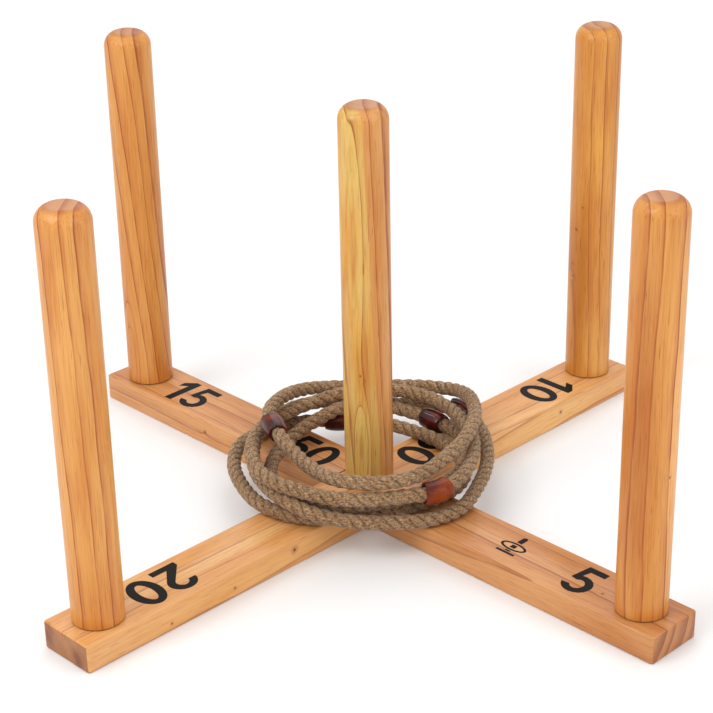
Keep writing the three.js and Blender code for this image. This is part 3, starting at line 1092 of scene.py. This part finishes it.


# Each leather's four tones from its darkest, also laid in its creases as painted shade, to its worn
# places, and its gloss.
LEATHERS = {
    "tan": (srgb(82, 26, 10), srgb(106, 38, 11), srgb(128, 50, 12), srgb(148, 66, 20), 0.16),
    "dark": (srgb(40, 8, 4), srgb(66, 14, 7), srgb(94, 26, 12), srgb(132, 48, 24), 0.26),
}
SLEEVE_LEATHERS = ("dark", "dark", "dark", "tan", "dark")
TAN_DARK_SPOT = (-0.019, -0.080, 0.056)  # the tan sleeve's mouth and back: painted shade from its open mouth, and a darker back
TAN_DARK_SPOT_SIZE = (0.014, 0.014, 0.010)


def leather_material(name):
    """Waxed leather, with painted shade in its creases; the tan one also has painted shade by one mouth
    and a darker back.
    """
    deep, low, high, bright, gloss = LEATHERS[name]
    n = Nodes(f"{name}_leather")
    place = n.coords()
    cloud = n.noise(place, 70, 2, 0.5)
    grain = n.noise(place, 1400, 4, 0.65)
    crease = n.noise(place, 380, 2, 0.6, 1.4)
    colour = n.ramp(cloud, [(0.3, deep), (0.45, low), (0.58, high), (0.74, bright)])
    colour = n.over(colour, deep, grain, 0.5, 0.75, 0.3)
    # painted shade: the dents of the creases darkened
    colour = n.over(colour, deep, crease, 0.42, 0.47, 0.0, least=0.25)
    if name == "tan":
        # painted shade from the tan sleeve's open mouth, and a darker tone over its back
        blotch = n.near(place, TAN_DARK_SPOT, TAN_DARK_SPOT_SIZE)
        colour = n.mix(n.times(blotch, 0.85), colour, srgb(74, 18, 10))
    n.set(Base_Color=colour, Roughness=n.span(grain, 0.3, 0.7, 0.22, 0.36))
    n.set(Specular_IOR_Level=gloss, Coat_Weight=gloss, Coat_Roughness=0.08)
    relief = n.weigh(crease, 0.6, n.times(grain, 0.45))
    n.set(Normal=n.bump(relief, 0.00018, 0.5))
    return n.material


def make_rings():
    rope = rope_material()
    fibre = fuzz_material()
    leathers = {name: leather_material(name) for name in LEATHERS}
    for index, route in enumerate(RING_ROUTES):
        number = index + 1
        loop = Loop(route)
        body = f"ring_{number}"
        wrap = sleeve_mesh(loop, SLEEVE_TURNS[index], SLEEVE_BARREL[index], SLEEVE_SEED + index)
        sleeve = place_piece(
            f"sleeve_{number}_leather", wrap, leathers[SLEEVE_LEATHERS[index]],
            body, f"leather_sleeve_{number}",
        )
        skin = rope_mesh(loop, ROPE_SEED + index)
        strands = place_piece(f"{body}_rope", skin, rope, body, f"rope_ring_{number}")
        hairs = fuzz_mesh(loop, FIBRE_SEED + index)
        fuzz = place_piece(f"{body}_fibres", hairs, fibre, body)


# ---- printed numbers

INK_HEIGHT = 0.06 * MM
NUMERAL_HEIGHT = 36 * MM
SIGN_HEIGHT = 26 * MM
SIGN_PLACE = (3 * MM, -150 * MM)
BOW_STEPS = 14
# Each number's digits, with the place of each digit's middle along its bar in millimetres.
UPPER_DIGITS = [("2", -199.0), ("0", -226.7), ("5", 78.5), ("0", 53.6), ("1", 230.0), ("0", 205.0)]
LOWER_DIGITS = [("1", 230.0), ("5", 206.0), ("5", 80.5), ("0", 55.6), ("5", -217.0)]


def ink_material():
    n = Nodes("printed_ink")
    place = n.coords()
    grain = n.noise(place, 1400, 3, 0.7)
    n.set(Base_Color=n.ramp(grain, [(0.3, srgb(10, 9, 9)), (0.7, srgb(26, 22, 21))]))
    n.set(Roughness=n.span(grain, 0.3, 0.7, 0.45, 0.62), Specular_IOR_Level=0.12)
    n.set(Normal=n.bump(grain, 0.00005, 0.5))
    return n.material


def oval(centre, reach):
    return arc(centre, reach, 0, 352, 44)


# Plain block numerals, one unit high, each as a list of outlines. A second outline is a hole.
NUMERALS = {
    "0": [oval((0.35, 0.5), (0.35, 0.5)), oval((0.35, 0.5), (0.148, 0.33))],
    "1": [[(0.2, 0), (0.4, 0), (0.4, 1), (0.24, 1), (0.0, 0.8), (0.0, 0.61), (0.2, 0.75)]],
    "2": [
        arc((0.33, 0.7), (0.325, 0.3), 178, -28, BOW_STEPS)
        + [(0.31, 0.17), (0.66, 0.17), (0.66, 0), (0, 0), (0, 0.14)]
        + arc((0.33, 0.7), (0.14, 0.14), -38, 178, BOW_STEPS)
    ],
    "5": [
        [(0.63, 1), (0.13, 1), (0.06, 0.47), (0.225, 0.445)]
        + arc((0.33, 0.325), (0.15, 0.165), 122, -150, BOW_STEPS)
        + arc((0.33, 0.325), (0.335, 0.325), -162, 108, BOW_STEPS)
        + [(0.275, 0.83), (0.63, 0.83)]
    ],
}


def oblong(left, right, low, high):
    return [(left, low), (right, low), (right, high), (left, high)]


def ring_sign():
    """A small picture of a ring round a peg."""
    middle = (0.45, 0.42)
    ring = [oval(middle, (0.45, 0.2)), oval(middle, (0.36, 0.13))]
    head = arc((0.45, 0.93), (0.09, 0.08), 0, 180, 10) + [(0.36, 0.67), (0.54, 0.67)]
    stem = oblong(0.36, 0.54, 0.34, 0.5)
    neck = oblong(0.36, 0.54, 0.12, 0.19)
    foot = oblong(0.12, 0.78, 0.0, 0.09)
    return [ring, [head], [stem], [neck], [foot]]


def printed(name, shapes, height, centre, read, up, body, ink):
    """Flat print that reads along one direction, its top towards another, on a crossbar."""
    data = bpy.data.curves.new(name, "CURVE")
    data.dimensions = "2D"
    data.fill_mode = "BOTH"
    data.extrude = INK_HEIGHT / 2
    across = [point[0] for outlines in shapes for outline in outlines for point in outline]
    middle = (min(across) + max(across)) / 2
    for outlines in shapes:
        for outline in outlines:
            spline = data.splines.new("POLY")
            spline.points.add(len(outline) - 1)
            for point, (x, y) in zip(spline.points, outline):
                point.co = ((x - middle) * height, (y - 0.5) * height, 0, 1)
            spline.use_cyclic_u = True
    drawn = bpy.data.objects.new(name, data)
    graph = bpy.context.evaluated_depsgraph_get()
    bpy.context.scene.collection.objects.link(drawn)
    graph.update()
    mesh = bpy.data.meshes.new_from_object(drawn.evaluated_get(graph))
    bpy.data.objects.remove(drawn)
    turn = Matrix((read, up, (0, 0, 1))).transposed().to_4x4()
    mesh.transform(Matrix.Translation((*centre, BAR_TOP + INK_HEIGHT / 2)) @ turn)
    mesh.materials.clear()
    place_piece(name, mesh, ink, body)


def make_print():
    """The numbers beside the pegs. A bar's numbers all read the same way along it."""
    ink = ink_material()
    along_x = ((-1, 0, 0), (0, -1, 0), "upper_crossbar", ink)
    along_y = ((0, -1, 0), (1, 0, 0), "lower_crossbar", ink)
    for bar, digits, lay in (("upper", UPPER_DIGITS, along_x), ("lower", LOWER_DIGITS, along_y)):
        for order, (digit, place) in enumerate(digits):
            centre = (place * MM, 0) if bar == "upper" else (0, place * MM)
            printed(f"print_{bar}_{order}_{digit}", [NUMERALS[digit]], NUMERAL_HEIGHT, centre, *lay)
    printed("print_sign", ring_sign(), SIGN_HEIGHT, SIGN_PLACE, *along_y)


# ---- floor and light

FLOOR_REACH = 6
FLOOR_TONES = ((0.86, 0.86, 0.86, 1), (0.98, 0.98, 0.98, 1))  # near the set, and far off
FLOOR_FADE = (0.9, 2.6)
SKY_STRENGTH = 0.82
LIGHTS = {  # where each stands, its size and its power
    "key": ((-1.5, 0.2, 1.7), 1.2, 19),
    "fill": ((0.2, -1.8, 1.5), 1.6, 13),
    "back": ((1.1, 1.1, 1.8), 1.6, 9),
    "spark": ((-0.4, 1.2, 1.9), 0.14, 1.6),
}
LIGHT_AIM = Vector((0, 0, 0.12))


def make_stage():
    far = FLOOR_REACH
    corners = [(-far, -far, 0), (far, -far, 0), (far, far, 0), (-far, far, 0)]
    mesh = mesh_from("floor", corners, [(0, 1, 2, 3)])
    n = Nodes("pale_floor")
    away = n.span(n.distance(n.coords(), (0, 0, 0)), *FLOOR_FADE)
    n.set(Base_Color=n.mix(away, *FLOOR_TONES), Roughness=0.9, Specular_IOR_Level=0.1)
    new_object("floor", mesh, n.material)
    world = bpy.data.worlds.new("studio")
    world.use_nodes = True
    sky = world.node_tree.nodes["Background"]
    sky.inputs["Color"].default_value = (1, 1, 1, 1)
    sky.inputs["Strength"].default_value = SKY_STRENGTH
    bpy.context.scene.world = world
    for name, (place, size, power) in LIGHTS.items():
        area_light(name, place, size, power)
    bpy.context.scene.view_settings.view_transform = "Standard"


def area_light(name, place, size, power):
    data = bpy.data.lights.new(name, "AREA")
    data.size = size
    data.energy = power
    lamp = bpy.data.objects.new(name, data)
    lamp.location = place
    lamp.rotation_euler = (LIGHT_AIM - Vector(place)).to_track_quat("-Z", "Y").to_euler()
    bpy.context.scene.collection.objects.link(lamp)


# ---- the scene

make_camera()
make_rings()
make_crossbars()
make_print()
steel = metal("zinc_steel", srgb(196, 198, 202), 0.28)
brass = metal("brass", srgb(206, 172, 104), 0.26)
for points, bar in PEGS.items():
    make_peg(points)
    make_stud(points, steel)
    make_insert(points, brass, bar)
make_stage()
